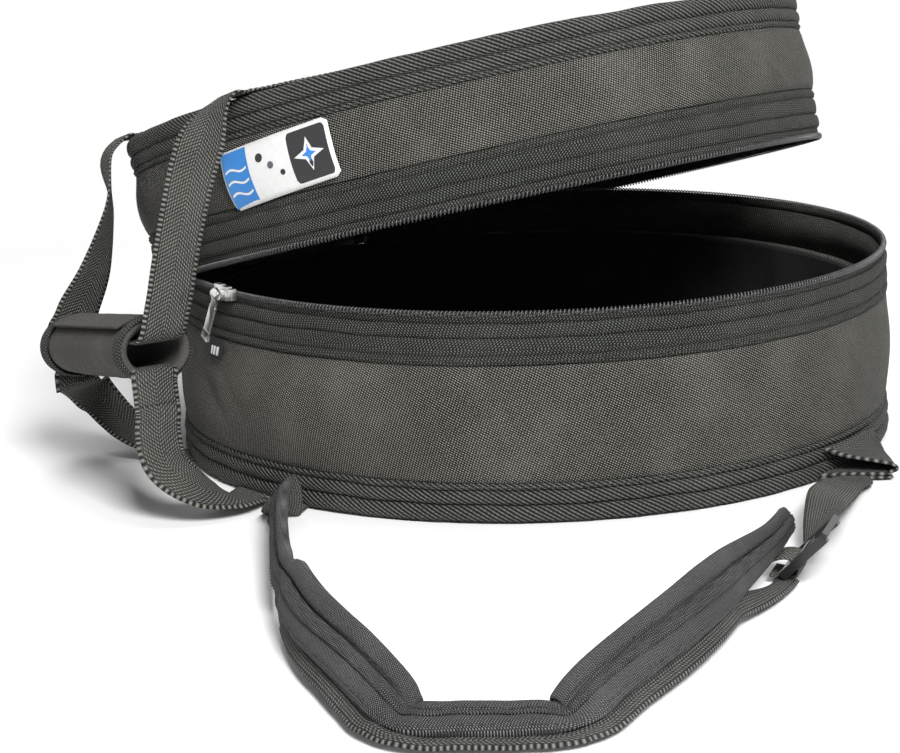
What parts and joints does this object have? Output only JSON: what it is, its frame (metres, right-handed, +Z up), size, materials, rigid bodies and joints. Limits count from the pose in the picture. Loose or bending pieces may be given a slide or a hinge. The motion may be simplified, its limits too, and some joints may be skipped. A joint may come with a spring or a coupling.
{
  "type": "snare drum bag",
  "caption": "Padded round drum bag whose zipped lid folds open on a soft spine, with a carry handle, shoulder strap and buckle.",
  "frame": {"origin": "centre of the base's underside, which stands on the floor", "axes": "+Z up, -Y towards the shoulder strap and the picture's viewer, +X to the viewer's right"},
  "size_m": [0.4726, 0.7356, 0.253],
  "materials": {
    "base_floor_panel": "padded fine twill, matt",
    "base_side_wall": "padded fine twill, matt",
    "base_floor_binding": "herringbone binding tape",
    "base_rim_band": "herringbone binding tape",
    "base_zip_tape": "nylon coil on tape",
    "base_lining": "smooth nylon lining",
    "side_tag": "printed label",
    "zip_bottom_stop": "bright plated zinc",
    "front_handle_tongue": "ribbed polyester webbing",
    "back_handle_tongue": "ribbed polyester webbing",
    "strap_left_tongue": "ribbed polyester webbing",
    "strap_right_tongue": "ribbed polyester webbing",
    "strap_anchor_tab": "ribbed polyester webbing",
    "hinge_panel": "padded fine twill, matt",
    "hinge_welt": "herringbone binding tape",
    "lid_top_panel": "padded fine twill, matt",
    "lid_side_wall": "padded fine twill, matt",
    "lid_top_binding": "herringbone binding tape",
    "lid_rim_band": "herringbone binding tape",
    "lid_zip_tape": "nylon coil on tape",
    "lid_hinge_seam": "herringbone binding tape",
    "lid_lining": "smooth nylon lining",
    "lid_badge": "printed label",
    "front_lid_tongue": "ribbed polyester webbing",
    "back_lid_tongue": "ribbed polyester webbing",
    "front_carry_webbing": "ribbed polyester webbing",
    "back_carry_webbing": "ribbed polyester webbing",
    "grip_wrap": "smooth soft wrap",
    "grip_flap": "smooth soft wrap",
    "front_base_webbing": "ribbed polyester webbing",
    "back_base_webbing": "ribbed polyester webbing",
    "strap_start_webbing": "ribbed polyester webbing",
    "strap_pad_left": "padded fine twill, matt",
    "strap_pad_middle": "padded fine twill, matt",
    "strap_pad_right": "padded fine twill, matt",
    "strap_edge_webbing": "ribbed polyester webbing",
    "anchor_webbing": "ribbed polyester webbing",
    "lock_loop_webbing": "ribbed polyester webbing",
    "ladder_lock": "moulded black acetal",
    "zip_slider": "bright plated zinc",
    "zip_pull_tab": "bright plated zinc"
  },
  "bodies": {
    "base": {"base_floor_panel": "base_floor_panel", "base_side_wall": "base_side_wall", "base_floor_binding": "base_floor_binding", "base_rim_band": "base_rim_band", "base_zip_tape": "base_zip_tape", "base_lining": "base_lining", "side_tag": "side_tag", "zip_bottom_stop": "zip_bottom_stop", "front_handle_tongue": "front_handle_tongue", "back_handle_tongue": "back_handle_tongue", "strap_left_tongue": "strap_left_tongue", "strap_right_tongue": "strap_right_tongue", "strap_anchor_tab": "strap_anchor_tab"},
    "spine": {"hinge_panel": "hinge_panel"},
    "welt": {"hinge_welt": "hinge_welt"},
    "lid": {"lid_top_panel": "lid_top_panel", "lid_side_wall": "lid_side_wall", "lid_top_binding": "lid_top_binding", "lid_rim_band": "lid_rim_band", "lid_zip_tape": "lid_zip_tape", "lid_hinge_seam": "lid_hinge_seam", "lid_lining": "lid_lining", "lid_badge": "lid_badge", "front_lid_tongue": "front_lid_tongue", "back_lid_tongue": "back_lid_tongue"},
    "carry_loop": {"front_carry_webbing": "front_carry_webbing", "back_carry_webbing": "back_carry_webbing", "grip_wrap": "grip_wrap"},
    "grip_flap": {"grip_flap": "grip_flap"},
    "base_loop": {"front_base_webbing": "front_base_webbing", "back_base_webbing": "back_base_webbing"},
    "shoulder_strap": {"strap_start_webbing": "strap_start_webbing", "strap_pad_left": "strap_pad_left", "strap_pad_middle": "strap_pad_middle", "strap_pad_right": "strap_pad_right", "strap_edge_webbing": "strap_edge_webbing", "anchor_webbing": "anchor_webbing", "lock_loop_webbing": "lock_loop_webbing"},
    "ladder_lock": {"ladder_lock": "ladder_lock"},
    "zip_slider": {"zip_slider": "zip_slider"},
    "zip_pull": {"zip_pull_tab": "zip_pull_tab"}
  },
  "joints": [
    {"name": "spine_fold", "type": "hinge", "parent": "base", "child": "spine", "pos_m": [-0.14451, 0.13242, 0.0852], "axis": [-0.6756, -0.7373, 0], "range_deg": [-140.59, 0]},
    {"name": "welt_fold", "type": "hinge", "parent": "spine", "child": "welt", "pos_m": [-0.15799, 0.14477, 0.0724], "axis": [-0.6756, -0.7373, 0], "range_deg": [0, 125.99]},
    {"name": "lid_open", "type": "hinge", "parent": "welt", "child": "lid", "pos_m": [-0.15799, 0.14477, 0.0724], "axis": [-0.6756, -0.7373, 0], "range_deg": [0, 95]},
    {"name": "carry_loop_swing", "type": "hinge", "parent": "lid", "child": "carry_loop", "pos_m": [-0.18971, -0.06449, 0.19293], "axis": [-0.5216, 0.8176, -0.244], "range_deg": [0, 80]},
    {"name": "grip_flap_open", "type": "hinge", "parent": "carry_loop", "child": "grip_flap", "pos_m": [-0.21303, -0.10326, 0.08965], "axis": [-0.5227, 0.8398, -0.1469], "range_deg": [0, 120]},
    {"name": "base_loop_swing", "type": "hinge", "parent": "base", "child": "base_loop", "pos_m": [-0.17735, -0.09697, 0.0004], "axis": [0.485, -0.8745, 0], "range_deg": [0, 20]},
    {"name": "shoulder_strap_swing", "type": "hinge", "parent": "base", "child": "shoulder_strap", "pos_m": [0.01667, -0.15407, 0.00265], "axis": [-0.9942, -0.1078, -0.003], "range_deg": [0, 45]},
    {"name": "ladder_lock_tilt", "type": "hinge", "parent": "shoulder_strap", "child": "ladder_lock", "pos_m": [0.11616, -0.29724, 0.00649], "axis": [0.3027, 0.9531, 0], "range_deg": [-12, 5]},
    {"name": "zip_slider_travel", "type": "hinge", "parent": "base", "child": "zip_slider", "pos_m": [0, 0, 0.1068], "axis": [0, 0, 1], "range_deg": [0, 192]},
    {"name": "zip_pull_swing", "type": "hinge", "parent": "zip_slider", "child": "zip_pull", "pos_m": [-0.16454, -0.12626, 0.1068], "axis": [-0.6088, 0.7934, 0], "range_deg": [0, 150]}
  ],
  "couplings": [
    {"joint": "welt_fold", "follows": "spine_fold", "ratio": -0.89615}
  ]
}
